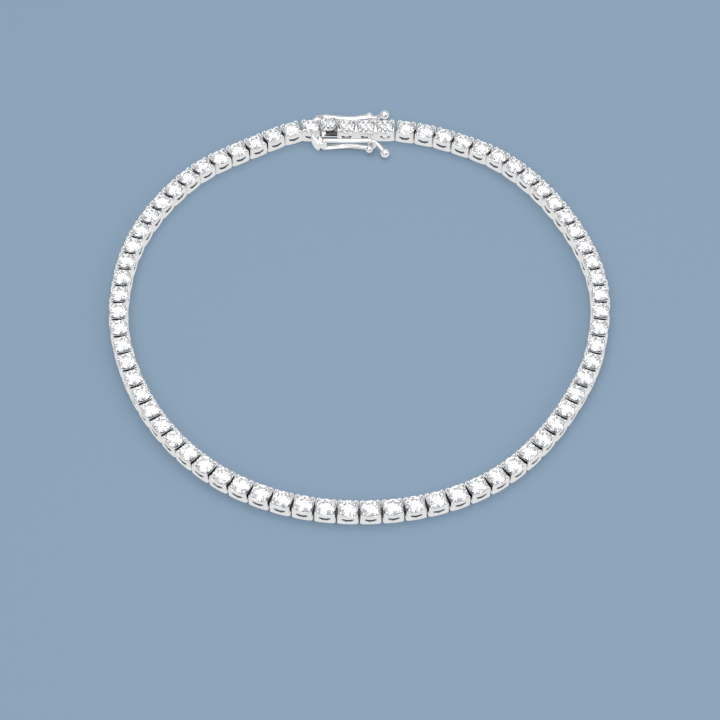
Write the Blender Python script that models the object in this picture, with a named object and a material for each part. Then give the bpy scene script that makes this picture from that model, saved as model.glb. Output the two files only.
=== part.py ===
"""Tennis bracelet: a closed line of round stones in four-claw settings, with a box clasp."""
from math import atan2, cos, degrees, hypot, pi, radians, sin

import bmesh
import bpy
import numpy as np
from mathutils import Matrix, Vector

MM = 0.001

# the line of links
LINK_COUNT = 67
STRAND_COUNT = 8
PITCH = 2.48 * MM              # joint to joint along the thread
LINK_LENGTH = 2.18 * MM
LINK_WIDTH = 2.14 * MM
CORNER_CUT = 0.3 * MM
WALL_TOP = 1.8 * MM            # top of the setting's side wall
SLOT_LOW = 0.46 * MM           # the dark slot that runs through each setting
SLOT_HIGH = 0.86 * MM
SLOT_HALF_LENGTH = 0.62 * MM
GIRDLE_RADIUS = 1.02 * MM
TABLE_RADIUS = 0.6 * MM
TABLE_HEIGHT = 2.2 * MM
NECK_SIZE = Vector((0.5, 0.7, 0.4)) * MM
NECK_HEIGHT = 0.72 * MM

# how the loop lies: the distance by which it leaves a circle, in mm, at angles in degrees
# counted anticlockwise from +X, from the clasp's box end clockwise to its tongue end
LEAN = ((66, -0.24), (52, 0.17), (28, -0.06), (6, 0.2), (-11, -0.11), (-30, -0.43), (-62, 0.26),
        (-90, 0.03), (-117, 0.13), (-158, -0.26), (-182, 0.0), (-200, 0.25), (-224, 0.23),
        (-242, -0.33))

# the clasp, along +X from its tongue end to its box end
GAP = PITCH - LINK_LENGTH
PRESS_ZONE = 2.2 * MM          # between the tongue link and the box
BOX_LENGTH = 7.22 * MM
CLASP_LENGTH = LINK_LENGTH + PRESS_ZONE + BOX_LENGTH + GAP
CLASP_SHIFT = -1.35 * MM       # the clasp's middle, left of the loop's centre
CLASP_REACH = 27.5 * MM        # the clasp's line, from the loop's centre
LINK_END = -CLASP_LENGTH / 2 + GAP / 2 + LINK_LENGTH
BOX_START = LINK_END + PRESS_ZONE
BOX_END = BOX_START + BOX_LENGTH
BOX_STONE_STEP = 2.4 * MM
BOX_CORNER = 0.2 * MM
HEAD_X = LINK_END + PRESS_ZONE / 2

# the tongue and its spring leaf, inside the box's channel
CHANNEL_LOW = 0.3 * MM
CHANNEL_HIGH = 1.02 * MM
CHANNEL_WIDTH = 1.56 * MM
BACK_WALL = 0.4 * MM
TONGUE_WIDTH = 1.3 * MM
PLATE_ROOT = 0.2 * MM          # the plate starts this far inside the tongue link
PLATE_PAST_FOLD = 0.3 * MM
PLATE_LOW = 0.36 * MM
PLATE_THICKNESS = 0.18 * MM
LEAF_THICKNESS = 0.15 * MM
LEAF_LOW = 0.6 * MM            # the leaf's underside at the fold
LEAF_RISE = 0.26 * MM          # and how much higher it is under the press head
FOLD_X = BOX_END - 1.8 * MM
FOLD_Z = 0.57 * MM
HEAD_TOP = 2.0 * MM
HEAD_FOOT_RADIUS = 0.42 * MM
HEAD_RADIUS = 1.0 * MM

# stones of the clasp
STONE_GAP = 0.03 * MM
STONE_SIDES = 12

# the safety latches: x from the hinge, out from the clasp's long side
HINGE_X = LINK_END + 0.45 * MM
LATCH_OUT = {"inner": 1.13 * MM, "outer": 0.65 * MM}
LATCH_REACH = 5.82 * MM        # hinge to the middle of the far lobe
WAIST_X = 3.3 * MM
WIRE_RADIUS = 0.15 * MM
WIRE_BREADTH = 1.6             # the wire is this many times as broad as it is high
LOBE_Z = 0.85 * MM
LOBE_RADIUS = 0.68 * MM
WAIST_DROP = {"inner": 0.06 * MM, "outer": 0.4 * MM}
WAIST_LIFT = {"inner": 0.34 * MM, "outer": 0.5 * MM}
BEND_RADIUS = 0.2 * MM
STUD_X = 5.79 * MM
STUD_RADIUS = 0.2 * MM
STUD_ROOT = 0.1 * MM           # a stud starts this far inside the box's side
STUD_HEAD_RADIUS = 0.42 * MM
STUD_HEAD_OUT = {"inner": 2.0 * MM, "outer": 1.35 * MM}
THUMB_RADIUS = 0.54 * MM
THUMB_X = 7.74 * MM
THUMB_Z = 0.58 * MM
THUMB_OUT = {"inner": 2.4 * MM, "outer": 1.8 * MM}
TAIL_RADIUS = 0.2 * MM

# the bosses that carry the latches, in plan, in mm: x from the hinge, and distance out from
# the latch's own plane, or None where a corner lies just inside the clasp's side
BOSS_ROOT = -0.12 * MM
BOSS_FIN = ((-1.56, None), (-0.8, None), (-0.4, -0.5), (-0.4, 0.45), (-0.52, 0.45))
BOSS_ARM = ((-0.9, None), (-0.8, None), (0.0, -0.5), (0.51, -0.43), (0.51, 0.45), (-0.5, 0.45))
FIN_LOW = 0.05 * MM
ARM_LOW = 0.47 * MM
BOSS_TOP = 1.4 * MM
BORE_RADIUS = 0.28 * MM
BORE_SIDES = 14


def clear_scene():
    for obj in list(bpy.data.objects):
        bpy.data.objects.remove(obj, do_unlink=True)


def make_material(name, color, roughness, metallic, transmission=0.0):
    material = bpy.data.materials.new(name)
    material.use_nodes = True
    shader = material.node_tree.nodes["Principled BSDF"]
    shader.inputs["Base Color"].default_value = (*color, 1.0)
    shader.inputs["Roughness"].default_value = roughness
    shader.inputs["Metallic"].default_value = metallic
    shader.inputs["Transmission Weight"].default_value = transmission
    return material


def white_gold():
    return make_material("white_gold", (0.83, 0.83, 0.85), 0.12, 1.0)


def spring_gold():
    return make_material("spring_gold", (0.76, 0.76, 0.79), 0.2, 1.0)


def clear_stone():
    return make_material("clear_stone", (0.95, 0.96, 0.98), 0.02, 0.0, 0.6)


def make_object(name, mesh, material, parent, location=(0, 0, 0)):
    obj = bpy.data.objects.new(name, mesh)
    bpy.context.collection.objects.link(obj)
    if material:
        mesh.materials.append(material)
    obj.parent = parent
    obj.location = location
    return obj


def make_empty(name, parent=None, location=(0, 0, 0)):
    empty = bpy.data.objects.new(name, None)
    bpy.context.collection.objects.link(empty)
    empty.parent = parent
    empty.location = location
    return empty


def finish_mesh(bm, name):
    bmesh.ops.recalc_face_normals(bm, faces=bm.faces[:])
    mesh = bpy.data.meshes.new(name)
    bm.to_mesh(mesh)
    bm.free()
    return mesh


def combine(target, tool, operation):
    """Boolean with a hidden tool object, which stays out of the part."""
    tool.hide_render = True
    tool.display_type = "WIRE"
    modifier = target.modifiers.new(operation.lower() + "_" + tool.name, "BOOLEAN")
    modifier.operation = operation
    modifier.solver = "EXACT"
    modifier.object = tool


def box_mesh(low, high, corner=0.0):
    """A block between two corners, its upright edges cut back."""
    low, high = Vector(low), Vector(high)
    size = high - low
    bm = bmesh.new()
    place = Matrix.Translation((low + high) / 2) @ Matrix.Diagonal((*size, 1.0))
    bmesh.ops.create_cube(bm, size=1.0, matrix=place)
    if corner:
        upright = [e for e in bm.edges if abs(e.verts[0].co.z - e.verts[1].co.z) > size.z / 2]
        bmesh.ops.bevel(bm, geom=upright, offset=corner, segments=1, affect="EDGES", profile=0.5)
    return finish_mesh(bm, "block")


def prism_mesh(outline, low, high):
    """An upright prism on a plan outline."""
    bm = bmesh.new()
    base = bm.faces.new([bm.verts.new((x, y, low)) for x, y in outline])
    grown = bmesh.ops.extrude_face_region(bm, geom=[base])["geom"]
    top = [v for v in grown if isinstance(v, bmesh.types.BMVert)]
    bmesh.ops.translate(bm, verts=top, vec=(0, 0, high - low))
    return finish_mesh(bm, "prism")


def cone_mesh(low_radius, high_radius, low, high, sides):
    bm = bmesh.new()
    place = Matrix.Translation((0, 0, (low + high) / 2))
    bmesh.ops.create_cone(bm, cap_ends=True, segments=sides, radius1=low_radius,
                          radius2=high_radius, depth=high - low, matrix=place)
    return finish_mesh(bm, "cone")


# ---- the loop's route

def offset_at(angle, radius):
    """The lean at an angle, eased from one stated place to the next; the ends meet the clasp."""
    ends = []
    for x in (CLASP_SHIFT + CLASP_LENGTH / 2, CLASP_SHIFT - CLASP_LENGTH / 2):
        place = degrees(atan2(CLASP_REACH, x))
        ends.append((place, (hypot(x, CLASP_REACH) - radius) / MM))
    stations = [ends[0], *LEAN, (ends[1][0] - 360, ends[1][1])]
    for (start, first), (stop, second) in zip(stations, stations[1:]):
        if start >= angle >= stop:
            ease = 0.5 - 0.5 * cos(pi * (start - angle) / (start - stop))
            return (first + (second - first) * ease) * MM
    return stations[-1][1] * MM


def route(radius):
    """Points every quarter degree, clockwise from the box end to the tongue end."""
    start = degrees(atan2(CLASP_REACH, CLASP_SHIFT + CLASP_LENGTH / 2))
    stop = degrees(atan2(CLASP_REACH, CLASP_SHIFT - CLASP_LENGTH / 2)) - 360
    points = []
    for angle in np.linspace(start, stop, 1344):
        reach = radius + offset_at(angle, radius)
        points.append((reach * cos(radians(angle)), reach * sin(radians(angle))))
    return np.array(points)


def travelled(points):
    steps = np.hypot(*np.diff(points, axis=0).T)
    return np.concatenate(([0.0], np.cumsum(steps)))


def joint_points():
    """Where link meets link: equal steps along the route, whose radius suits their number."""
    wanted = LINK_COUNT * PITCH
    radius = wanted / (2 * pi)
    for _ in range(6):
        points = route(radius)
        radius += (wanted - travelled(points)[-1]) / (2 * pi)
    along = travelled(points)
    stops = np.linspace(0, along[-1], LINK_COUNT + 1)
    return np.stack([np.interp(stops, along, points[:, axis]) for axis in (0, 1)], axis=1)


def pose_between(first, second):
    """A place midway between two points, its x axis towards the second."""
    middle = (first + second) / 2
    turn = atan2(second[1] - first[1], second[0] - first[0])
    return Matrix.Translation((*middle, 0.0)) @ Matrix.Rotation(turn, 4, "Z")


# ---- settings and strands

def setting_mesh(with_stone=True):
    """One setting: a cup with cut corners, a slot through its sides, and its stone's crown."""
    x, y = LINK_LENGTH / 2, LINK_WIDTH / 2
    cut = CORNER_CUT
    outline = ((x, -y + cut), (x, y - cut), (x - cut, y), (-x + cut, y),
               (-x, y - cut), (-x, -y + cut), (-x + cut, -y), (x - cut, -y))
    bm = bmesh.new()
    bm.from_mesh(prism_mesh(outline, 0.0, WALL_TOP))
    cut_slot(bm)
    if with_stone:
        raise_crown(bm)
    return finish_mesh(bm, "setting")


def cut_slot(bm):
    """Inset both long sides to the slot's outline and bridge the two openings."""
    bm.faces.ensure_lookup_table()
    sides = [f for f in bm.faces if abs(f.normal.y) > 0.9]
    bmesh.ops.inset_individual(bm, faces=sides, thickness=0.2 * MM)
    rims = []
    for face in sides:
        middle = face.calc_center_median()
        for vert in face.verts:
            vert.co.x = SLOT_HALF_LENGTH if vert.co.x > middle.x else -SLOT_HALF_LENGTH
            vert.co.z = SLOT_HIGH if vert.co.z > middle.z else SLOT_LOW
        rims += face.edges[:]
    bmesh.ops.delete(bm, geom=sides, context="FACES_ONLY")
    bmesh.ops.bridge_loops(bm, edges=rims)


def raise_crown(bm):
    """The stone's crown, as a frustum that grows out of the cup's top."""
    top = max(bm.faces, key=lambda f: f.calc_center_median().z)
    bmesh.ops.inset_region(bm, faces=[top], thickness=0.05 * MM)
    shape_ring(top, GIRDLE_RADIUS, WALL_TOP)
    grown = bmesh.ops.extrude_face_region(bm, geom=[top])["geom"]
    table = next(f for f in grown if isinstance(f, bmesh.types.BMFace))
    bmesh.ops.delete(bm, geom=[top], context="FACES_ONLY")
    shape_ring(table, TABLE_RADIUS, TABLE_HEIGHT)


def shape_ring(face, radius, height):
    """Spread a face's corners evenly round a circle."""
    for vert in face.verts:
        angle = atan2(vert.co.y, vert.co.x)
        step = 2 * pi / len(face.verts)
        angle = (round(angle / step - 0.5) + 0.5) * step
        vert.co = (radius * cos(angle), radius * sin(angle), height)


def make_strands(root, material):
    """Eight solids of eight or nine links, each link joined to the next by a neck."""
    joints = joint_points()
    poses = [pose_between(a, b) for a, b in zip(joints, joints[1:])]
    setting = setting_mesh()
    ends = [round(LINK_COUNT * k / STRAND_COUNT) for k in range(STRAND_COUNT + 1)]
    for number, (first, last) in enumerate(zip(ends, ends[1:]), start=1):
        links = bmesh.new()
        necks = bmesh.new()
        for index in range(first, last):
            before = len(links.verts)
            links.from_mesh(setting)
            links.verts.ensure_lookup_table()
            bmesh.ops.transform(links, matrix=poses[index], verts=links.verts[before:])
            if index > first:
                place = pose_between(joints[index - 1], joints[index + 1])
                place.translation = (*joints[index], NECK_HEIGHT)
                size = Matrix.Diagonal((*NECK_SIZE, 1.0))
                bmesh.ops.create_cube(necks, size=1.0, matrix=place @ size)
        name = f"strand_{number}"
        strand = make_object(name, finish_mesh(links, name), material, root)
        tool = make_object(f"necks_{number}", finish_mesh(necks, "necks"), None, root)
        combine(strand, tool, "UNION")


# ---- clasp

def stone_mesh():
    seat = WALL_TOP + STONE_GAP
    return cone_mesh(GIRDLE_RADIUS, TABLE_RADIUS, seat, TABLE_HEIGHT, STONE_SIDES)


def boss_outline(points, side, label):
    ordered = []
    for x, out in points:
        reach = BOSS_ROOT if out is None else LATCH_OUT[label] + out * MM
        ordered.append((HINGE_X + x * MM, side * (LINK_WIDTH / 2 + reach)))
    return ordered if side > 0 else ordered[::-1]


def make_tongue_link(clasp, material):
    """The setting that carries the tongue plate and both latch bosses."""
    bm = bmesh.new()
    bm.from_mesh(setting_mesh(with_stone=False))
    middle = LINK_END - LINK_LENGTH / 2
    bmesh.ops.translate(bm, verts=bm.verts[:], vec=(middle, 0, 0))
    link = make_object("tongue_link", finish_mesh(bm, "tongue_link"), material, clasp)
    plate = box_mesh((LINK_END - PLATE_ROOT, -TONGUE_WIDTH / 2, PLATE_LOW),
                     (FOLD_X + PLATE_PAST_FOLD, TONGUE_WIDTH / 2, PLATE_LOW + PLATE_THICKNESS))
    combine(link, make_object("plate", plate, None, clasp), "UNION")
    for side, label in ((-1, "inner"), (1, "outer")):
        fin = prism_mesh(boss_outline(BOSS_FIN, side, label), FIN_LOW, BOSS_TOP)
        combine(link, make_object(f"fin_{label}", fin, None, clasp), "UNION")
        arm = prism_mesh(boss_outline(BOSS_ARM, side, label), ARM_LOW, BOSS_TOP)
        combine(link, make_object(f"arm_{label}", arm, None, clasp), "UNION")
        bore = cone_mesh(BORE_RADIUS, BORE_RADIUS, -MM, 3 * MM, BORE_SIDES)
        place = (HINGE_X, side * (LINK_WIDTH / 2 + LATCH_OUT[label]), 0)
        combine(link, make_object(f"bore_{label}", bore, None, clasp, place), "DIFFERENCE")
    return link


def stud_mesh(side, head_y):
    """A post out of the clasp's long side, as far as the middle of its ball head."""
    root_y = LINK_WIDTH / 2 - STUD_ROOT
    bm = bmesh.new()
    turn = Matrix.Rotation(radians(90), 4, "X")
    place = Matrix.Translation((0, side * (root_y + head_y) / 2, 0)) @ turn
    bmesh.ops.create_cone(bm, cap_ends=True, segments=10, radius1=STUD_RADIUS,
                          radius2=STUD_RADIUS, depth=head_y - root_y, matrix=place)
    return finish_mesh(bm, "stud")


def ball_mesh(radius):
    bm = bmesh.new()
    bmesh.ops.create_uvsphere(bm, u_segments=12, v_segments=8, radius=radius)
    return finish_mesh(bm, "ball")


def make_clasp_box(clasp, material):
    """The hollow box, open towards the tongue, with a stud on each long side."""
    half = LINK_WIDTH / 2
    block = box_mesh((BOX_START, -half, 0), (BOX_END, half, WALL_TOP), BOX_CORNER)
    box = make_object("clasp_box", block, material, clasp)
    channel = box_mesh((BOX_START - MM, -CHANNEL_WIDTH / 2, CHANNEL_LOW),
                       (BOX_END - BACK_WALL, CHANNEL_WIDTH / 2, CHANNEL_HIGH))
    combine(box, make_object("channel", channel, None, clasp), "DIFFERENCE")
    for side, label in ((-1, "inner"), (1, "outer")):
        place = (HINGE_X + STUD_X, 0, LOBE_Z)
        head_y = LINK_WIDTH / 2 + STUD_HEAD_OUT[label]
        post = stud_mesh(side, head_y)
        combine(box, make_object(f"stud_{label}", post, None, clasp, place), "UNION")
        head = (place[0], side * head_y, LOBE_Z)
        ball = make_object(f"stud_head_{label}", ball_mesh(STUD_HEAD_RADIUS), None, clasp, head)
        combine(box, ball, "UNION")


def make_press_tongue(clasp, material):
    """The spring leaf and the tulip head that presses it; its origin is the fold."""
    pivot = Vector((FOLD_X, 0, FOLD_Z))
    length = FOLD_X - HEAD_X + HEAD_FOOT_RADIUS
    slope = LEAF_RISE / (FOLD_X - HEAD_X)
    leaf = box_mesh((-length, -TONGUE_WIDTH / 2, 0), (0, TONGUE_WIDTH / 2, LEAF_THICKNESS))
    for vert in leaf.vertices:
        vert.co.z += LEAF_LOW - FOLD_Z - slope * vert.co.x
    press = make_object("press_tongue", leaf, material, clasp, pivot)
    foot = LEAF_LOW + LEAF_RISE + LEAF_THICKNESS / 2
    head = cone_mesh(HEAD_FOOT_RADIUS, HEAD_RADIUS, foot, HEAD_TOP, STONE_SIDES)
    combine(press, make_object("press_head", head, None, clasp, (HEAD_X, 0, 0)), "UNION")
    return press


def make_stones(clasp, press, material):
    mesh = stone_mesh()
    mesh.materials.append(material)
    middle = LINK_END - LINK_LENGTH / 2
    make_object("tongue_stone", mesh, None, clasp, (middle, 0, 0))
    for step in (-1, 0, 1):
        place = ((BOX_START + BOX_END) / 2 + step * BOX_STONE_STEP, 0, 0)
        make_object(f"box_stone_{step + 2}", mesh, None, clasp, place)
    lift = Vector((HEAD_X, 0, HEAD_TOP - WALL_TOP)) - press.location
    make_object("press_stone", mesh, None, press, lift)


# ---- safety latches

def waisted(x):
    """How far towards its waist the figure-8 has drawn in, 0 at the lobes and 1 at the waist."""
    t = x / WAIST_X if x < WAIST_X else (LATCH_REACH - x) / (LATCH_REACH - WAIST_X)
    return 0.5 * (t + t * t * (3 - 2 * t))


def latch_path(label):
    """The figure-8's wire, once round in its upright plane, from the hinge pin's foot."""
    high = LOBE_Z + LOBE_RADIUS
    low = LOBE_Z - LOBE_RADIUS
    across = np.linspace(BEND_RADIUS * 2, LATCH_REACH, 11)
    path = [(0, low + BEND_RADIUS), (0, high - BEND_RADIUS)]
    path.append((BEND_RADIUS * 0.3, high - BEND_RADIUS * 0.3))
    path += [(x, high - WAIST_DROP[label] * waisted(x)) for x in across]
    for angle in range(60, -90, -30):
        turn = radians(angle)
        path.append((LATCH_REACH + LOBE_RADIUS * cos(turn), LOBE_Z + LOBE_RADIUS * sin(turn)))
    path += [(x, low + WAIST_LIFT[label] * waisted(x)) for x in across[::-1]]
    path.append((BEND_RADIUS * 0.3, low + BEND_RADIUS * 0.3))
    return path


def wire_mesh(points, radius, closed):
    """A round wire along points, as a mesh."""
    curve = bpy.data.curves.new("wire", "CURVE")
    curve.dimensions = "3D"
    curve.bevel_depth = radius
    curve.bevel_resolution = 2
    curve.use_fill_caps = not closed
    spline = curve.splines.new("POLY")
    spline.points.add(len(points) - 1)
    for point, place in zip(spline.points, points):
        point.co = (*place, 1.0)
    spline.use_cyclic_u = closed
    holder = bpy.data.objects.new("wire", curve)
    mesh = bpy.data.meshes.new_from_object(holder)
    bpy.data.objects.remove(holder)
    bpy.data.curves.remove(curve)
    bm = bmesh.new()
    bm.from_mesh(mesh)
    bmesh.ops.remove_doubles(bm, verts=bm.verts[:], dist=MM * 1e-4)
    bpy.data.meshes.remove(mesh)
    return finish_mesh(bm, "wire")


def make_latch(clasp, material, side, label):
    """A figure-8 latch whose origin is on its hinge axis, with a tail and a thumb ball."""
    place = (HINGE_X, side * (LINK_WIDTH / 2 + LATCH_OUT[label]), 0)
    loop = wire_mesh([(x, 0, z) for x, z in latch_path(label)], WIRE_RADIUS, True)
    for vert in loop.vertices:
        vert.co.y *= WIRE_BREADTH
    latch = make_object(f"latch_{label}", loop, material, clasp, place)
    ball_at = Vector((THUMB_X, side * (THUMB_OUT[label] - LATCH_OUT[label]), THUMB_Z))
    start = Vector((LATCH_REACH + LOBE_RADIUS * 0.7, 0, LOBE_Z + LOBE_RADIUS * 0.7))
    knee = Vector((LATCH_REACH + LOBE_RADIUS * 1.6, side * 0.1 * MM, LOBE_Z + LOBE_RADIUS * 0.5))
    tail = wire_mesh(bent_line(start, knee, ball_at), TAIL_RADIUS, False)
    combine(latch, make_object(f"tail_{label}", tail, None, clasp, place), "UNION")
    thumb = make_object(f"thumb_{label}", ball_mesh(THUMB_RADIUS), None, clasp,
                        Vector(place) + ball_at)
    combine(latch, thumb, "UNION")


def bent_line(start, knee, stop, count=6):
    """Points on a smooth bend from start to stop, drawn towards the knee."""
    line = []
    for t in np.linspace(0, 1, count):
        line.append(start * (1 - t) ** 2 + knee * 2 * t * (1 - t) + stop * t * t)
    return line


def centre_on_origin(root):
    """Stand the part on the floor with the middle of its plan at the origin."""
    bpy.context.view_layer.update()
    depsgraph = bpy.context.evaluated_depsgraph_get()
    corners = []
    for obj in bpy.data.objects:
        if obj.type == "MESH" and not obj.hide_render:
            solid = obj.evaluated_get(depsgraph)
            corners += [obj.matrix_world @ Vector(c) for c in solid.bound_box]
    low = Vector([min(c[axis] for c in corners) for axis in range(3)])
    high = Vector([max(c[axis] for c in corners) for axis in range(3)])
    root.location = (-(low.x + high.x) / 2, -(low.y + high.y) / 2, -low.z)
    bpy.context.view_layer.update()


def main():
    clear_scene()
    metal = white_gold()
    root = make_empty("bracelet")
    clasp = make_empty("clasp", root, (CLASP_SHIFT, CLASP_REACH, 0))
    make_strands(root, metal)
    make_tongue_link(clasp, metal)
    make_clasp_box(clasp, metal)
    press = make_press_tongue(clasp, spring_gold())
    make_stones(clasp, press, clear_stone())
    make_latch(clasp, metal, -1, "inner")
    make_latch(clasp, metal, 1, "outer")
    centre_on_origin(root)


main()
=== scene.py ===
# Tennis bracelet: polished settings, brilliants and clasp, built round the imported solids.
from math import atan2, cos, degrees, hypot, pi, radians, sin, tan

import bmesh
import bpy
import numpy as np
from mathutils import Matrix, Vector


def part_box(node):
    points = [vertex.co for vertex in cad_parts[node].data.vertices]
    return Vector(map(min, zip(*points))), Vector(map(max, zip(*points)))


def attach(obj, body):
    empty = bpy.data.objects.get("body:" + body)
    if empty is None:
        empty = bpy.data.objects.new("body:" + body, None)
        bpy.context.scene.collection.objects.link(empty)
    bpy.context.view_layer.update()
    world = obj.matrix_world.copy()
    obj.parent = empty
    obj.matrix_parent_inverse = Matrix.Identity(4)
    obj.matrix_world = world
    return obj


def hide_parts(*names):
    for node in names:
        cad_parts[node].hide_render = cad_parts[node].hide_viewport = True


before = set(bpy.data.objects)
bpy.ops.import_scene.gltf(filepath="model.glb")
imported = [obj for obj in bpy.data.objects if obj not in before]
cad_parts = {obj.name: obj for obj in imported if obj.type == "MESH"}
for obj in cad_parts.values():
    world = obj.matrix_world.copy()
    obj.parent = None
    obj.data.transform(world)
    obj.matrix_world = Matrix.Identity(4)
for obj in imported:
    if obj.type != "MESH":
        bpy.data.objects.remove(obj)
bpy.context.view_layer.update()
mm = 0.001


# where everything is

loopPlan = {
    "links": 67,
    "strands": 8,
    "pitch": 2.48 * mm,
    "claspShift": -1.35 * mm,      # clasp's middle, from the loop's centre
    "claspReach": 27.5 * mm,       # from the loop's centre to the clasp's line
    # how far the line of links leaves a circle, in mm, at angles counted anticlockwise from +X
    "lean": ((66, -0.24), (52, 0.17), (28, -0.06), (6, 0.2), (-11, -0.11), (-30, -0.43),
             (-62, 0.26), (-90, 0.03), (-117, 0.13), (-158, -0.26), (-182, 0.0),
             (-200, 0.25), (-224, 0.23), (-242, -0.33)),
}

claspPlan = {
    "linkLength": 2.18 * mm,
    "pressZone": 2.2 * mm,         # from the tongue's setting to the box
    "boxLength": 7.22 * mm,
    "stoneStep": 2.4 * mm,
}

gap = loopPlan["pitch"] - claspPlan["linkLength"]
claspLength = claspPlan["linkLength"] + claspPlan["pressZone"] + claspPlan["boxLength"] + gap
linkEnd = claspPlan["linkLength"] + (gap - claspLength) / 2
boxStart = linkEnd + claspPlan["pressZone"]
boxEnd = boxStart + claspPlan["boxLength"]
boxMiddle = (boxStart + boxEnd) / 2
headX = linkEnd + claspPlan["pressZone"] / 2
stoneLow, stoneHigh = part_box("box_stone_2")
claspCentre = Vector(((stoneLow.x + stoneHigh.x) / 2 - boxMiddle,
                      (stoneLow.y + stoneHigh.y) / 2, 0))
loopCentre = claspCentre - Vector((loopPlan["claspShift"], loopPlan["claspReach"], 0))


def leanAt(angle, radius):
    ends = []
    for side in (0.5, -0.5):
        x = loopPlan["claspShift"] + side * claspLength
        place = degrees(atan2(loopPlan["claspReach"], x))
        ends.append((place, (hypot(x, loopPlan["claspReach"]) - radius) / mm))
    stations = [ends[0], *loopPlan["lean"], (ends[1][0] - 360, ends[1][1])]
    for (start, first), (stop, second) in zip(stations, stations[1:]):
        if start >= angle >= stop:
            ease = 0.5 - 0.5 * cos(pi * (start - angle) / (start - stop))
            return (first + (second - first) * ease) * mm
    return stations[-1][1] * mm


def routeAt(radius):
    half = claspLength / 2
    start = degrees(atan2(loopPlan["claspReach"], loopPlan["claspShift"] + half))
    stop = degrees(atan2(loopPlan["claspReach"], loopPlan["claspShift"] - half)) - 360
    places = []
    for angle in np.linspace(start, stop, 1344):
        reach = radius + leanAt(angle, radius)
        places.append((reach * cos(radians(angle)), reach * sin(radians(angle))))
    return np.array(places)


def runLength(places):
    steps = np.hypot(*np.diff(places, axis=0).T)
    return np.concatenate(([0.0], np.cumsum(steps)))


def jointPlaces():
    wanted = loopPlan["links"] * loopPlan["pitch"]
    radius = wanted / (2 * pi)
    for _ in range(6):
        places = routeAt(radius)
        radius += (wanted - runLength(places)[-1]) / (2 * pi)
    along = runLength(places)
    stops = np.linspace(0, along[-1], loopPlan["links"] + 1)
    flat = np.stack([np.interp(stops, along, places[:, axis]) for axis in (0, 1)], axis=1)
    return [loopCentre + Vector((x, y, 0)) for x, y in flat]


def placeBetween(first, second):
    ahead = second - first
    turn = Matrix.Rotation(atan2(ahead.y, ahead.x), 4, "Z")
    return Matrix.Translation((first + second) / 2) @ turn


def claspPlace(x, y=0.0, z=0.0):
    return Matrix.Translation(claspCentre + Vector((x, y, z)))


# camera

cameraView = {
    "elevation": 54.65,
    "lens": 111.0,
    "distance": 258.5 * mm,
    "target": Vector((0.04, -7.83, 0.0)) * mm,
}


def placeCamera():
    camera = bpy.data.cameras.new("camera")
    camera.lens = cameraView["lens"]
    camera.sensor_width = 36.0
    camera.clip_start = 0.001
    camera.clip_end = 20.0
    holder = bpy.data.objects.new("camera", camera)
    bpy.context.scene.collection.objects.link(holder)
    tilt = radians(cameraView["elevation"])
    back = Vector((0, -cos(tilt), sin(tilt))) * cameraView["distance"]
    holder.location = cameraView["target"] + back
    holder.rotation_euler = (pi / 2 - tilt, 0, 0)
    bpy.context.scene.camera = holder


placeCamera()
print("camera placed")


# node helpers

def node(tree, kind, **values):
    made = tree.nodes.new(kind)
    for name, value in values.items():
        setattr(made, name, value)
    return made


def wire(tree, start, stop):
    tree.links.new(start, stop)


def newGroup(name, takes, gives):
    tree = bpy.data.node_groups.new(name, "ShaderNodeTree")
    for label, kind, value in takes:
        socket = tree.interface.new_socket(label, in_out="INPUT", socket_type=kind)
        if value is not None:
            socket.default_value = value
    for label, kind in gives:
        tree.interface.new_socket(label, in_out="OUTPUT", socket_type=kind)
    return tree, node(tree, "NodeGroupInput"), node(tree, "NodeGroupOutput")


def noiseOn(tree, vector, scale, detail=2.0, roughness=0.5):
    made = node(tree, "ShaderNodeTexNoise")
    made.inputs["Detail"].default_value = detail
    made.inputs["Roughness"].default_value = roughness
    if isinstance(scale, (int, float)):
        made.inputs["Scale"].default_value = scale
    else:
        wire(tree, scale, made.inputs["Scale"])
    wire(tree, vector, made.inputs["Vector"])
    return made.outputs["Fac"]


def remap(tree, value, low, high, newLow, newHigh):
    made = node(tree, "ShaderNodeMapRange")
    wire(tree, value, made.inputs["Value"])
    for label, given in (("From Min", low), ("From Max", high),
                         ("To Min", newLow), ("To Max", newHigh)):
        if isinstance(given, (int, float)):
            made.inputs[label].default_value = given
        else:
            wire(tree, given, made.inputs[label])
    return made.outputs["Result"]


def compute(tree, operation, first, second):
    made = node(tree, "ShaderNodeMath", operation=operation)
    for socket, given in zip(made.inputs, (first, second)):
        if isinstance(given, (int, float)):
            socket.default_value = given
        else:
            wire(tree, given, socket)
    return made.outputs["Value"]


def blendColors(tree, factor, first, second):
    made = node(tree, "ShaderNodeMix", data_type="RGBA")
    wire(tree, factor, made.inputs["Factor"])
    for label, given in ((6, first), (7, second)):
        if isinstance(given, tuple):
            made.inputs[label].default_value = (*given, 1.0)
        else:
            wire(tree, given, made.inputs[label])
    return made.outputs[2]


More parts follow.
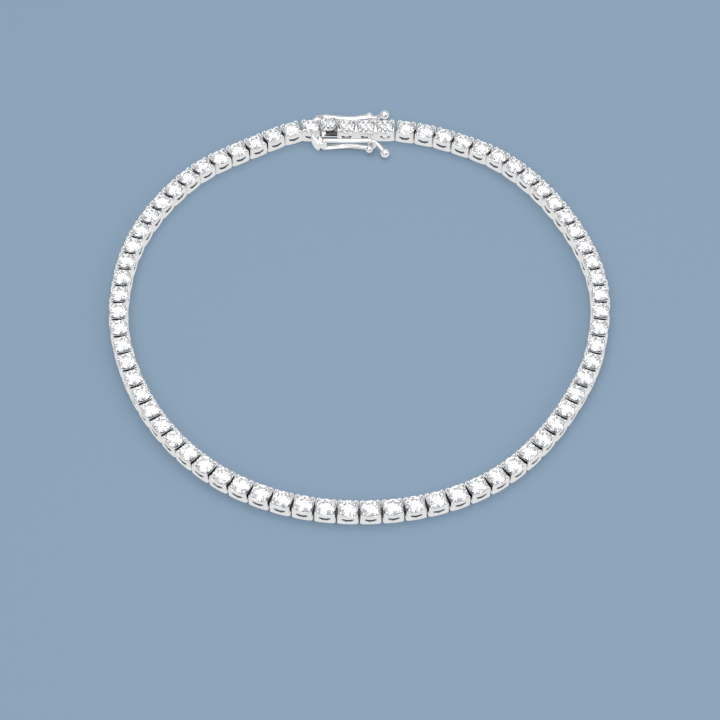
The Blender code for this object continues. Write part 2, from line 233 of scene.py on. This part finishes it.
def buffMarks():
    # soft swirls left by the polishing wheel, fine hairlines, and tiny pits
    tree, takes, gives = newGroup(
        "buffMarks",
        (("Vector", "NodeSocketVector", None), ("Swirl Scale", "NodeSocketFloat", 900.0),
         ("Hairline Scale", "NodeSocketFloat", 5200.0), ("Pits", "NodeSocketFloat", 0.3)),
        (("Swirl", "NodeSocketFloat"), ("Hairlines", "NodeSocketFloat"),
         ("Height", "NodeSocketFloat")))
    swirl = noiseOn(tree, takes.outputs["Vector"], takes.outputs["Swirl Scale"], 3.0)
    stretch = node(tree, "ShaderNodeMapping")
    stretch.inputs["Scale"].default_value = (1.0, 0.12, 0.12)
    stretch.inputs["Rotation"].default_value = (0.3, 0.2, 0.9)
    wire(tree, takes.outputs["Vector"], stretch.inputs["Vector"])
    lines = noiseOn(tree, stretch.outputs["Vector"], takes.outputs["Hairline Scale"], 4.0, 0.7)
    sharp = remap(tree, lines, 0.55, 0.72, 0.0, 1.0)
    pits = noiseOn(tree, takes.outputs["Vector"], 14000.0, 1.0)
    deep = compute(tree, "MULTIPLY", remap(tree, pits, 0.66, 0.8, 0.0, 1.0), takes.outputs["Pits"])
    height = compute(tree, "SUBTRACT", compute(tree, "MULTIPLY", swirl, 0.5), deep)
    height = compute(tree, "SUBTRACT", height, compute(tree, "MULTIPLY", sharp, 0.2))
    wire(tree, swirl, gives.inputs["Swirl"])
    wire(tree, sharp, gives.inputs["Hairlines"])
    wire(tree, height, gives.inputs["Height"])
    return tree


marks = buffMarks()


def newMaterial(name):
    material = bpy.data.materials.new(name)
    material.use_nodes = True
    tree = material.node_tree
    shader = tree.nodes["Principled BSDF"]
    place = node(tree, "ShaderNodeTexCoord")
    return material, tree, shader, place.outputs["Object"]


def polishedGold(name, bright, shaded, recessShadeColor, roughness, bump):
    material, tree, shader, place = newMaterial(name)
    used = node(tree, "ShaderNodeGroup")
    used.node_tree = marks
    wire(tree, place, used.inputs["Vector"])
    polished = blendColors(tree, used.outputs["Swirl"], shaded, bright)
    # painted shade: at marked vertices the polished colour is blended to a near-black colour, for
    # the shade in the gaps, inside the settings and under the press head
    paintedShade = node(tree, "ShaderNodeAttribute", attribute_name="paintedShade").outputs["Fac"]
    wire(tree, blendColors(tree, paintedShade, polished, recessShadeColor), shader.inputs["Base Color"])
    shader.inputs["Metallic"].default_value = 1.0
    rough = remap(tree, used.outputs["Hairlines"], 0.0, 1.0, roughness[0], roughness[1])
    wire(tree, rough, shader.inputs["Roughness"])
    relief = node(tree, "ShaderNodeBump")
    relief.inputs["Strength"].default_value = bump
    relief.inputs["Distance"].default_value = 0.01 * mm
    wire(tree, used.outputs["Height"], relief.inputs["Height"])
    wire(tree, relief.outputs["Normal"], shader.inputs["Normal"])
    return material


def clearStone():
    # colourless stone, with the faintest clouding and polish lines on its facets
    material, tree, shader, place = newMaterial("clearStone")
    cloud = noiseOn(tree, place, 700.0, 2.0)
    tint = blendColors(tree, cloud, (0.97, 0.975, 0.985), (1.0, 1.0, 1.0))
    wire(tree, tint, shader.inputs["Base Color"])
    rough = remap(tree, noiseOn(tree, place, 2600.0, 3.0), 0.4, 0.8, 0.0, 0.03)
    wire(tree, rough, shader.inputs["Roughness"])
    shader.inputs["IOR"].default_value = 2.42
    shader.inputs["Transmission Weight"].default_value = 1.0
    return material


# the third colour of each is the painted shade used at marked vertices
whiteGold = polishedGold("whiteGold", (0.9, 0.895, 0.89), (0.83, 0.825, 0.82),
                         (0.07, 0.07, 0.075), (0.1, 0.24), 0.25)
springGold = polishedGold("springGold", (0.74, 0.735, 0.73), (0.6, 0.595, 0.59),
                          (0.16, 0.16, 0.165), (0.16, 0.34), 0.4)
brilliantStone = clearStone()
print("materials mixed")


# mesh helpers

def newVerts(found):
    return [part for part in found if isinstance(part, bmesh.types.BMVert)]


def edgesAmong(verts):
    inside = set(verts)
    return list({edge for vert in verts for edge in vert.link_edges
                 if edge.verts[0] in inside and edge.verts[1] in inside})


def sweepRings(bm, stations, sides, closed=False):
    # carries a unit ring through the given places, then caps it or joins its ends
    ring = bmesh.ops.create_circle(bm, cap_ends=False, segments=sides, radius=1.0,
                                   matrix=stations[0])["verts"]
    first = edges = edgesAmong(ring)
    for before, after in zip(stations, stations[1:]):
        grown = newVerts(bmesh.ops.extrude_edge_only(bm, edges=edges)["geom"])
        bmesh.ops.transform(bm, matrix=after @ before.inverted(), verts=grown)
        edges = edgesAmong(grown)
    if closed:
        bmesh.ops.bridge_loops(bm, edges=first + edges)
    else:
        bmesh.ops.edgeloop_fill(bm, edges=first)
        bmesh.ops.edgeloop_fill(bm, edges=edges)


def ringAt(place, ahead, side, broad, high):
    ahead = ahead.normalized()
    side = (side - ahead * side.dot(ahead)).normalized()
    up = ahead.cross(side)
    turn = Matrix((side * broad, up * high, ahead * mm)).transposed().to_4x4()
    return Matrix.Translation(place) @ turn


def ringsAlong(path, side, broad, high, closed=False):
    stations = []
    count = len(path)
    for index, place in enumerate(path):
        if closed:
            ahead = path[(index + 1) % count] - path[index - 1]
        else:
            ahead = path[min(index + 1, count - 1)] - path[max(index - 1, 0)]
        stations.append(ringAt(place, ahead, side, broad, high))
    return stations


def addBlock(bm, low, high, edge, segments=2, place=Matrix.Identity(4)):
    low, high = Vector(low), Vector(high)
    shape = Matrix.Translation((low + high) / 2) @ Matrix.Diagonal((*(high - low), 1.0))
    verts = bmesh.ops.create_cube(bm, size=1.0, matrix=place @ shape)["verts"]
    bmesh.ops.bevel(bm, geom=edgesAmong(verts), offset=edge, segments=segments, profile=0.5,
                    affect="EDGES", material=-1)


def addBall(bm, place, radius, across=24, up=14):
    bmesh.ops.create_uvsphere(bm, u_segments=across, v_segments=up, radius=radius,
                              matrix=Matrix.Translation(place))


def bakePiece(name, bm, material, body, nodes=(), levels=0, sharp=40.0, flat=False):
    bmesh.ops.recalc_face_normals(bm, faces=bm.faces[:])
    mesh = bpy.data.meshes.new(name)
    bm.to_mesh(mesh)
    bm.free()
    mesh.materials.append(material)
    if not flat:
        mesh.shade_smooth()
        if not levels:
            mesh.set_sharp_from_angle(angle=radians(sharp))
    piece = bpy.data.objects.new(name, mesh)
    bpy.context.scene.collection.objects.link(piece)
    if levels:
        smooth = piece.modifiers.new("smooth", "SUBSURF")
        smooth.levels = levels
        smooth.render_levels = levels
    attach(piece, body)
    if nodes:
        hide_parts(*nodes)
    return piece


def markPaintedShade(bm, chosen):
    # 1 at the chosen vertices, where shade is painted in as a darker colour, 0 elsewhere
    layer = bm.verts.layers.float.get("paintedShade") or bm.verts.layers.float.new("paintedShade")
    for vert in bm.verts:
        if chosen(vert):
            vert[layer] = 1.0


def copyInto(bm, mesh, place):
    before = len(bm.verts)
    bm.from_mesh(mesh)
    bm.verts.ensure_lookup_table()
    bmesh.ops.transform(bm, matrix=place, verts=bm.verts[before:])


def freeze(bm, name):
    bmesh.ops.recalc_face_normals(bm, faces=bm.faces[:])
    mesh = bpy.data.meshes.new(name)
    bm.to_mesh(mesh)
    bm.free()
    return mesh


# brilliants

stoneCut = {
    "radius": 1.06 * mm,
    "girdleZ": 1.62 * mm,          # underside of the girdle, above the floor
    "girdle": 0.045 * mm,
    "table": 0.57,                 # table's radius, of the stone's radius
    "crownAngle": 34.5,
    "starAngle": 23.0,
    "upperAngle": 40.5,
    "pavilionAngle": 40.8,
    "lowerAngle": 42.3,
    "backDepth": 0.6,              # of the radius, where a stone's point is cut off for the tongue
}


def cutPlane(bm, direction, angle, distance, height, up):
    # one facet: everything outside a plane comes off, and the cut is closed
    turn, lean = radians(direction), radians(angle)
    normal = Vector((sin(lean) * cos(turn), sin(lean) * sin(turn), up * cos(lean)))
    place = Vector((distance * cos(turn), distance * sin(turn), height))
    every = bm.verts[:] + bm.edges[:] + bm.faces[:]
    cut = bmesh.ops.bisect_plane(bm, geom=every, dist=1e-5, plane_co=place, plane_no=normal,
                                 clear_outer=True)["geom_cut"]
    edges = [part for part in cut if isinstance(part, bmesh.types.BMEdge)]
    if len(edges) > 2:
        bmesh.ops.edgeloop_fill(bm, edges=edges)


def brilliantMesh(name, flatBack):
    # cut at a radius of one, then sized
    bm = bmesh.new()
    girdle = stoneCut["girdle"] / stoneCut["radius"]
    crown = (1 - stoneCut["table"]) * tan(radians(stoneCut["crownAngle"]))
    bmesh.ops.create_cone(bm, cap_ends=True, segments=32, radius1=1.0, radius2=1.0, depth=2.0,
                          matrix=Matrix.Translation((0, 0, girdle / 2)))
    cutPlane(bm, 0, 0, 0, girdle + crown, 1)
    chord = cos(radians(11.25))
    for step in range(8):
        turn = step * 45
        cutPlane(bm, turn, stoneCut["crownAngle"], 1.0, girdle, 1)
        cutPlane(bm, turn + 22.5, stoneCut["starAngle"],
                 stoneCut["table"] * cos(radians(22.5)), girdle + crown, 1)
        cutPlane(bm, turn, stoneCut["pavilionAngle"], 1.0, 0, -1)
        for side in (11.25, -11.25):
            cutPlane(bm, turn + side, stoneCut["upperAngle"], chord, girdle, 1)
            cutPlane(bm, turn + side, stoneCut["lowerAngle"], chord, 0, -1)
    if flatBack:
        cutPlane(bm, 0, 0, 0, -stoneCut["backDepth"], -1)
    bmesh.ops.scale(bm, vec=(stoneCut["radius"],) * 3, verts=bm.verts[:])
    return freeze(bm, name)


deepStone = brilliantMesh("deepStone", False)
flatStone = brilliantMesh("flatStone", True)
print("brilliants cut,", len(deepStone.polygons), "facets each")


# the settings of the line

cupPlan = {
    "length": 2.36 * mm,
    "width": 2.14 * mm,
    "corner": 0.2 * mm,
    "wall": 0.17 * mm,
    "rows": (0.08 * mm, 0.47 * mm, 0.77 * mm),   # rail's edge, slot's foot, slot's roof
    "rimLow": 1.58 * mm,           # rim under the middle of the stone
    "rimRise": 0.3 * mm,           # and how much higher it is at the claws
    "slotFootLift": 0.36 * mm,
    "slotRoofLift": 0.22 * mm,
    "slotHalf": 0.62 * mm,
    "bulge": 0.05 * mm,
}

clawPlan = {
    "sides": 6,
    # distance from the stone's axis, height and thickness up the claw, in mm
    "stations": ((1.27, 0.02, 0.25), (1.28, 0.5, 0.25), (1.29, 1.2, 0.26), (1.27, 1.58, 0.26),
                 (1.17, 1.76, 0.24), (1.06, 1.86, 0.21), (0.96, 1.88, 0.14)),
}


def cupCage(bm, length, columns, centres, openEnd=False):
    # a block's four walls, rounded at the corners, with a smile-shaped slot under each stone
    width, corner = cupPlan["width"], cupPlan["corner"]
    height = cupPlan["rimLow"]
    shape = Matrix.Translation((0, 0, height / 2)) @ Matrix.Diagonal((length, width, height, 1.0))
    bmesh.ops.create_cube(bm, size=1.0, matrix=shape)
    caps = [face for face in bm.faces if abs(face.normal.z) > 0.9]
    bmesh.ops.delete(bm, geom=caps, context="FACES_ONLY")
    upright = [edge for edge in bm.edges if abs(edge.verts[0].co.z - edge.verts[1].co.z) > mm]
    bmesh.ops.bevel(bm, geom=upright, offset=corner, segments=3, profile=0.5, affect="EDGES",
                    material=-1)
    for axis, cuts in ((0, columns - 1), (1, 3)):
        spans = [edge for edge in bm.edges
                 if abs(edge.verts[0].co[axis] - edge.verts[1].co[axis]) > mm]
        bmesh.ops.subdivide_edges(bm, edges=spans, cuts=cuts, use_grid_fill=True)
    for level in cupPlan["rows"]:
        bmesh.ops.bisect_plane(bm, geom=bm.verts[:] + bm.edges[:] + bm.faces[:], dist=1e-7,
                               plane_co=(0, 0, level), plane_no=(0, 0, 1))
    _, slotFoot, slotRoof = cupPlan["rows"]
    gone = []
    for face in bm.faces:
        middle = face.calc_center_median()
        inSlot = slotFoot < middle.z < slotRoof
        nearest = min(abs(middle.x - centre) for centre in centres)
        if inSlot and abs(face.normal.y) > 0.9 and nearest < cupPlan["slotHalf"] - 0.02 * mm:
            gone.append(face)
        if openEnd and face.normal.x < -0.9 and middle.z > cupPlan["rows"][0]:
            gone.append(face)
    bmesh.ops.delete(bm, geom=gone, context="FACES")
    reach = cupPlan["length"] / 2
    for vert in bm.verts:
        away = min(1.0, min(abs(vert.co.x - centre) for centre in centres) / reach)
        across = min(1.0, abs(vert.co.y) / (width / 2))
        slotAway = min(1.0, away * reach / cupPlan["slotHalf"])
        onSide = abs(vert.co.y) > width / 2 - corner
        if abs(vert.co.z - height) < 1e-6:
            vert.co.z += cupPlan["rimRise"] * min(away, across) ** 2.2
        elif abs(vert.co.z - slotFoot) < 1e-6:
            vert.co.z += cupPlan["slotFootLift"] * slotAway ** 2 * onSide
        elif abs(vert.co.z - slotRoof) < 1e-6:
            vert.co.z += cupPlan["slotRoofLift"] * slotAway ** 2 * onSide
        if onSide:
            vert.co.y -= cupPlan["bulge"] * away ** 2 * (1 if vert.co.y > 0 else -1)
    bmesh.ops.solidify(bm, geom=bm.faces[:], thickness=cupPlan["wall"])
    wall, bulge = cupPlan["wall"], cupPlan["bulge"]
    # painted shade: the end walls facing the gap to the next setting, and the inside below the
    # slots' roof, are painted near black
    markPaintedShade(bm, lambda vert: abs(vert.co.y) < width / 3 and abs(vert.co.x) > (length - wall) / 2
               or vert.co.z < slotRoof + 0.1 * mm
               and abs(vert.co.y) < (width - wall) / 2 - bulge
               and abs(vert.co.x) < (length - wall) / 2)


def addClaw(bm, centre, turn, lift=0.0):
    across = Vector((cos(turn), sin(turn), 0))
    path = [centre + across * d * mm + Vector((0, 0, z * mm + (lift if z > 1 else 0)))
            for d, z, _ in clawPlan["stations"]]
    side = Vector((-sin(turn), cos(turn), 0))
    stations = []
    for index, (_, _, thick) in enumerate(clawPlan["stations"]):
        ahead = path[min(index + 1, len(path) - 1)] - path[max(index - 1, 0)]
        stations.append(ringAt(path[index], ahead, side, thick * mm, thick * mm))
    sweepRings(bm, stations, clawPlan["sides"])


def linkMesh():
    bm = bmesh.new()
    cupCage(bm, cupPlan["length"], 6, (0.0,))
    for quarter in range(4):
        addClaw(bm, Vector(), radians(45 + 90 * quarter))
    return freeze(bm, "link")


hingePlan = {
    # two opposite corners of the knuckle, and its rounded edge, in mm
    "low": (-0.2, -0.45, 0.14),
    "high": (0.2, 0.45, 1.1),
    "edge": 0.05,
}


def hingeMesh():
    # the knuckle that joins one setting to the next
    bm = bmesh.new()
    addBlock(bm, Vector(hingePlan["low"]) * mm, Vector(hingePlan["high"]) * mm,
             hingePlan["edge"] * mm, segments=1)
    # painted shade: the whole knuckle is marked, so it renders near black like a shadowed gap
    # between settings
    markPaintedShade(bm, lambda vert: True)
    return freeze(bm, "hinge")


link = linkMesh()
hinge = hingeMesh()
joints = jointPlaces()
places = [placeBetween(a, b) for a, b in zip(joints, joints[1:])]
strandEnds = [round(loopPlan["links"] * k / loopPlan["strands"])
              for k in range(loopPlan["strands"] + 1)]
stoneLift = Matrix.Translation((0, 0, stoneCut["girdleZ"]))


def buildStrands():
    for number, (first, last) in enumerate(zip(strandEnds, strandEnds[1:]), start=1):
        metal, stones = bmesh.new(), bmesh.new()
        for index in range(first, last):
            copyInto(metal, link, places[index])
            spin = Matrix.Rotation(radians(index * 37 % 45), 4, "Z")
            copyInto(stones, deepStone, places[index] @ stoneLift @ spin)
            if index:
                ahead = placeBetween(joints[index - 1], joints[index + 1])
                ahead.translation = joints[index]
                copyInto(metal, hinge, ahead)
        bakePiece(f"settings_{number}", metal, whiteGold, "root",
                  (f"strand_{number}",), levels=1)
        bakePiece(f"brilliants_{number}", stones, brilliantStone, "root", flat=True)


buildStrands()
print("line of", loopPlan["links"], "settings built")


# the clasp's box, with three stones

boxPlan = {
    "floor": 0.3 * mm,
    "innerHalf": 0.86 * mm,
    "bridge": 0.22 * mm,           # half the width of the solid metal between two stones
    "bridgeLow": 1.02 * mm,
    "bridgeHigh": 1.62 * mm,
}


def buildBox():
    centres = [step * claspPlan["stoneStep"] for step in (-1, 0, 1)]
    bm = bmesh.new()
    cupCage(bm, claspPlan["boxLength"], 34, centres, openEnd=True)
    for centre in centres:
        for quarter in range(4):
            addClaw(bm, Vector((centre, 0, 0)), radians(45 + 90 * quarter))
    half = claspPlan["boxLength"] / 2
    inner = boxPlan["innerHalf"]
    addBlock(bm, (0.05 * mm - half, -inner, 0.02 * mm), (half - 0.1 * mm, inner, boxPlan["floor"]),
             0.03 * mm, segments=1)
    bridge, step = boxPlan["bridge"], claspPlan["stoneStep"]
    for middle in (-1.5 * step + bridge, -0.5 * step, 0.5 * step, 1.5 * step - bridge):
        addBlock(bm, (middle - bridge, -inner, boxPlan["bridgeLow"]),
                 (middle + bridge, inner, boxPlan["bridgeHigh"]), 0.05 * mm, segments=1)
    bmesh.ops.transform(bm, matrix=claspPlace(boxMiddle), verts=bm.verts[:])
    bakePiece("box_case", bm, whiteGold, "root", ("clasp_box",), levels=1)
    for number, centre in enumerate(centres, start=1):
        stone = bmesh.new()
        copyInto(stone, flatStone, claspPlace(boxMiddle + centre) @ stoneLift)
        bakePiece(f"box_brilliant_{number}", stone, brilliantStone, "root",
                  (f"box_stone_{number}",), flat=True)


buildBox()
print("clasp box built")


# the tongue's setting, its plate, and the bosses that carry the latches

latchPlan = {
    "hingeX": 0.45 * mm,           # past the end of the tongue's setting
    "out": {"inner": 1.13 * mm, "outer": 0.65 * mm},        # from the clasp's long side
    "reach": 5.82 * mm,
    "waistX": 3.3 * mm,
    "radius": 0.2 * mm,
    "breadth": 1.7,
    "lobeZ": 0.85 * mm,
    "lobe": 0.68 * mm,
    "waistDrop": {"inner": 0.06 * mm, "outer": 0.4 * mm},
    "waistLift": {"inner": 0.34 * mm, "outer": 0.5 * mm},
    "bend": 0.2 * mm,
    "thumbX": 7.74 * mm,
    "thumbZ": 0.58 * mm,
    "thumbOut": {"inner": 2.4 * mm, "outer": 1.8 * mm},
    "thumbRadius": 0.56 * mm,
    "tail": 0.21 * mm,
}

studPlan = {
    "x": 5.79 * mm,
    "radius": 0.2 * mm,
    "headRadius": 0.44 * mm,
    "headOut": {"inner": 2.0 * mm, "outer": 1.35 * mm},
}

tonguePlan = {
    "width": 1.3 * mm,
    "plateLow": 0.36 * mm,
    "plateHigh": 0.54 * mm,
    "foldX": boxEnd - 1.8 * mm,
    "leafLow": 0.6 * mm,
    "leafRise": 0.26 * mm,
    "leafThick": 0.15 * mm,
}

hingeX = linkEnd + latchPlan["hingeX"]
sideY = cupPlan["width"] / 2

bossPlan = {
    # in plan: x from the hinge in mm, and distance out, as a share of the boss's whole reach
    "fin": ((-1.5, -0.1), (-0.8, -0.1), (-0.4, 0.25), (-0.4, 0.93), (-0.5, 1.0), (-0.66, 0.97),
            (-0.86, 0.86), (-1.08, 0.66), (-1.28, 0.4), (-1.42, 0.15)),
    "arm": ((-0.9, -0.1), (-0.75, -0.1), (-0.3, 0.26), (0.0, 0.34), (0.4, 0.38), (0.51, 0.5),
            (0.51, 0.9), (0.4, 1.0), (-0.3, 1.0), (-0.48, 0.94)),
    "pastHinge": 0.45 * mm,
    "finLow": 0.05 * mm,
    "armLow": 0.47 * mm,
    "top": 1.4 * mm,
    "edge": 0.09 * mm,
}


def addBoss(bm, outline, low, side, label):
    reach = latchPlan["out"][label] + bossPlan["pastHinge"]
    base = bm.faces.new([bm.verts.new((hingeX + x * mm, side * (sideY + out * reach), low))
                         for x, out in outline])
    grown = bmesh.ops.extrude_face_region(bm, geom=[base])["geom"]
    top = newVerts(grown)
    bmesh.ops.translate(bm, verts=top, vec=(0, 0, bossPlan["top"] - low))
    edges = edgesAmong(top + list(base.verts))
    bmesh.ops.bevel(bm, geom=edges, offset=bossPlan["edge"], segments=3, profile=0.5,
                    affect="EDGES", material=-1)


def buildTongue():
    bm = bmesh.new()
    middle = Matrix.Translation((linkEnd - claspPlan["linkLength"] / 2, 0, 0))
    copyInto(bm, link, middle)
    place = claspPlace(0)
    bmesh.ops.transform(bm, matrix=place, verts=bm.verts[:])
    bakePiece("tongue_setting", bm, whiteGold, "root", levels=1)

    bm = bmesh.new()
    half = tonguePlan["width"] / 2
    addBlock(bm, (linkEnd - 0.2 * mm, -half, tonguePlan["plateLow"]),
             (tonguePlan["foldX"] + 0.3 * mm, half, tonguePlan["plateHigh"]), 0.03 * mm)
    for side, label in ((-1, "inner"), (1, "outer")):
        addBoss(bm, bossPlan["fin"], bossPlan["finLow"], side, label)
        addBoss(bm, bossPlan["arm"], bossPlan["armLow"], side, label)
    bmesh.ops.transform(bm, matrix=place, verts=bm.verts[:])
    bakePiece("tongue_plate", bm, whiteGold, "root", ("tongue_link",))

    stone = bmesh.new()
    copyInto(stone, deepStone, place @ middle @ stoneLift)
    bakePiece("tongue_brilliant", stone, brilliantStone, "root",
              ("tongue_stone",), flat=True)


buildTongue()


def buildStuds():
    bm = bmesh.new()
    for side, label in ((-1, "inner"), (1, "outer")):
        start = Vector((hingeX + studPlan["x"], side * (sideY - 0.1 * mm), latchPlan["lobeZ"]))
        stop = Vector((start.x, side * (sideY + studPlan["headOut"][label]), start.z))
        rings = ringsAlong([start, (start + stop) / 2, stop], Vector((0, 0, 1)),
                           studPlan["radius"], studPlan["radius"])
        sweepRings(bm, rings, 16)
        addBall(bm, stop, studPlan["headRadius"])
    bmesh.ops.transform(bm, matrix=claspPlace(0), verts=bm.verts[:])
    bakePiece("latch_studs", bm, whiteGold, "root")


buildStuds()
print("tongue, bosses and studs built")


# the press: a spring leaf with a fluted tulip head and its stone

headPlan = {
    "ribs": 14,
    "rib": 0.13 * mm,
    # distance from the head's axis and height up a rib, in mm
    "ribPath": ((0.14, 0.93), (0.34, 1.26), (0.64, 1.62), (0.88, 1.92), (1.0, 2.2)),
    "rimRadius": 0.99 * mm,
    "rimZ": 2.1 * mm,
    "rim": 0.09 * mm,
    "footRadius": 0.3 * mm,
    "footLow": 0.86 * mm,
    "footHigh": 1.04 * mm,
    "stoneZ": 2.2 * mm,
    "stoneScale": 0.96,
    # the claws' bend over the stone
    "clawPath": ((0.97, 2.08), (1.03, 2.26), (1.0, 2.37), (0.88, 2.42)),
    "claw": 0.15 * mm,
}


def addBent(bm, outline, turn, thick):
    # a bent wire that stands in a plane through the head's axis
    across = Vector((cos(radians(turn)), sin(radians(turn)), 0))
    side = Vector((-across.y, across.x, 0))
    path = [across * reach * mm + Vector((0, 0, height * mm)) for reach, height in outline]
    sweepRings(bm, ringsAlong(path, side, thick, thick), 8)


def buildPress():
    bm = bmesh.new()
    half = tonguePlan["width"] / 2
    length = tonguePlan["foldX"] - headX + headPlan["footRadius"]
    addBlock(bm, (-length, -half, 0), (0, half, tonguePlan["leafThick"]), 0.03 * mm)
    slope = tonguePlan["leafRise"] / (tonguePlan["foldX"] - headX)
    for vert in bm.verts:
        vert.co.z += tonguePlan["leafLow"] - slope * vert.co.x
        vert.co.x += tonguePlan["foldX"]
    # painted shade: the leaf under the head is painted darker, standing in for the head's shadow
    markPaintedShade(bm, lambda vert: vert.co.x < headX + headPlan["rimRadius"])
    bmesh.ops.transform(bm, matrix=claspPlace(0), verts=bm.verts[:])
    bakePiece("spring_leaf", bm, springGold, "press", ("press_tongue",))

    bm = bmesh.new()
    for number in range(headPlan["ribs"]):
        addBent(bm, headPlan["ribPath"], 360 * (number + 0.5) / headPlan["ribs"], headPlan["rib"])
    for number in range(4):
        addBent(bm, headPlan["clawPath"], 45 + 90 * number, headPlan["claw"])
    turns = [radians(10 * step) for step in range(36)]
    ring = [Vector((cos(turn) * headPlan["rimRadius"], sin(turn) * headPlan["rimRadius"],
                    headPlan["rimZ"])) for turn in turns]
    sweepRings(bm, ringsAlong(ring, Vector((0, 0, 1)), headPlan["rim"], headPlan["rim"],
                              closed=True), 8, closed=True)
    low, high = headPlan["footLow"], headPlan["footHigh"]
    bmesh.ops.create_cone(bm, cap_ends=True, segments=24, radius1=headPlan["footRadius"],
                          radius2=headPlan["footRadius"] * 0.8, depth=high - low,
                          matrix=Matrix.Translation((0, 0, (low + high) / 2)))
    bmesh.ops.transform(bm, matrix=claspPlace(headX), verts=bm.verts[:])
    bakePiece("press_head", bm, springGold, "press")

    stone = bmesh.new()
    size = Matrix.Diagonal((*(headPlan["stoneScale"],) * 3, 1.0))
    copyInto(stone, flatStone, claspPlace(headX, 0, headPlan["stoneZ"]) @ size)
    bakePiece("press_brilliant", stone, brilliantStone, "press",
              ("press_stone",), flat=True)


buildPress()
print("press built")


# the two figure-8 safety latches

def waisted(x):
    reach, waistX = latchPlan["reach"], latchPlan["waistX"]
    t = x / waistX if x < waistX else (reach - x) / (reach - waistX)
    return 0.5 * (t + t * t * (3 - 2 * t))


def latchPath(label):
    # once round the figure-8, in its upright plane, from the foot of the hinge pin
    bend, reach = latchPlan["bend"], latchPlan["reach"]
    lobe, lobeZ = latchPlan["lobe"], latchPlan["lobeZ"]
    high, low = lobeZ + lobe, lobeZ - lobe
    across = np.linspace(bend * 1.6, reach, 25)
    path = [(0, z) for z in np.linspace(low + bend, high - bend, 5)]
    for angle in (150, 120, 100):
        turn = radians(angle)
        path.append((bend + bend * cos(turn), high - bend + bend * sin(turn)))
    path += [(x, high - latchPlan["waistDrop"][label] * waisted(x)) for x in across]
    for angle in range(75, -90, -15):
        turn = radians(angle)
        path.append((reach + lobe * cos(turn), lobeZ + lobe * sin(turn)))
    path += [(x, low + latchPlan["waistLift"][label] * waisted(x)) for x in across[::-1]]
    for angle in (260, 240, 210):
        turn = radians(angle)
        path.append((bend + bend * cos(turn), low + bend + bend * sin(turn)))
    return [Vector((x, 0, z)) for x, z in path]


def bentLine(start, knee, stop, count=10):
    return [start * (1 - t) ** 2 + knee * 2 * t * (1 - t) + stop * t * t
            for t in np.linspace(0, 1, count)]


def buildLatch(side, label):
    bm = bmesh.new()
    radius = latchPlan["radius"]
    broad = radius * latchPlan["breadth"]
    rings = ringsAlong(latchPath(label), Vector((0, 1, 0)), broad, radius, closed=True)
    sweepRings(bm, rings, 16, closed=True)
    reach, lobe, lobeZ = latchPlan["reach"], latchPlan["lobe"], latchPlan["lobeZ"]
    out = latchPlan["out"][label]
    thumb = Vector((latchPlan["thumbX"], side * (latchPlan["thumbOut"][label] - out),
                    latchPlan["thumbZ"]))
    start = Vector((reach + lobe * 0.55, 0, lobeZ + lobe * 0.84))
    knee = Vector((reach + lobe * 1.6, side * 0.1 * mm, lobeZ + lobe * 0.5))
    sweepRings(bm, ringsAlong(bentLine(start, knee, thumb), Vector((0, 1, 0)),
                              latchPlan["tail"] * 1.15, latchPlan["tail"]), 16)
    addBall(bm, thumb, latchPlan["thumbRadius"])
    place = claspPlace(hingeX, side * (sideY + out))
    bmesh.ops.transform(bm, matrix=place, verts=bm.verts[:])
    bakePiece(f"figure_eight_{label}", bm, whiteGold, f"latch_{label}",
              (f"latch_{label}",))


buildLatch(-1, "inner")
buildLatch(1, "outer")
print("latches built")


# floor and light

studio = {
    "floorColor": (0.22, 0.315, 0.42),
    "floorShade": (0.21, 0.305, 0.41),
    "floorGlow": (0.86, 0.87, 0.88),   # painted glow: a white card that the floor shows to metal and stones in its place, glowing and lighting them from below
    "sky": (0.52, 0.53, 0.55),
    "lamps": (                         # place, width in metres, power in watts
        ("over", (0.0, 0.08, 0.4), 0.55, 0.98),
        ("front", (-0.2, -0.35, 0.4), 0.34, 0.52),
        ("side", (0.42, -0.05, 0.3), 0.25, 0.35),
    ),
}


def buildFloor():
    bm = bmesh.new()
    bmesh.ops.create_grid(bm, x_segments=2, y_segments=2, size=3.0)
    mesh = freeze(bm, "floor")
    floor = bpy.data.objects.new("floor", mesh)
    bpy.context.scene.collection.objects.link(floor)
    material, tree, shader, place = newMaterial("paleFloor")
    cloud = noiseOn(tree, place, 6.0, 2.0)
    wire(tree, blendColors(tree, cloud, studio["floorShade"], studio["floorColor"]),
         shader.inputs["Base Color"])
    shader.inputs["Roughness"].default_value = 0.6
    # painted glow: the camera sees the pale blue floor and every other ray sees it glow white, a
    # painted reflection in metal and stones and painted light from below
    glow = node(tree, "ShaderNodeEmission")
    glow.inputs["Color"].default_value = (*studio["floorGlow"], 1.0)
    seen = node(tree, "ShaderNodeLightPath")
    either = node(tree, "ShaderNodeMixShader")
    wire(tree, seen.outputs["Is Camera Ray"], either.inputs["Fac"])
    wire(tree, glow.outputs["Emission"], either.inputs[1])
    wire(tree, shader.outputs["BSDF"], either.inputs[2])
    wire(tree, either.outputs["Shader"], tree.nodes["Material Output"].inputs["Surface"])
    mesh.materials.append(material)


def addLight(name, place, size, power):
    lamp = bpy.data.lights.new(name, "AREA")
    lamp.shape = "DISK"
    lamp.size = size
    lamp.energy = power
    holder = bpy.data.objects.new(name, lamp)
    bpy.context.scene.collection.objects.link(holder)
    holder.location = place
    holder.rotation_euler = (-Vector(place)).to_track_quat("-Z", "Y").to_euler()


def buildWorld():
    world = bpy.data.worlds.new("softRoom")
    bpy.context.scene.world = world
    world.use_nodes = True
    sky = world.node_tree.nodes["Background"]
    sky.inputs["Color"].default_value = (*studio["sky"], 1.0)


buildFloor()
buildWorld()
for lamp in studio["lamps"]:
    addLight(*lamp)
bpy.context.scene.view_settings.view_transform = "Standard"
bpy.context.scene.cycles.max_bounces = 14
bpy.context.scene.cycles.glossy_bounces = 9
print("floor and lights set")
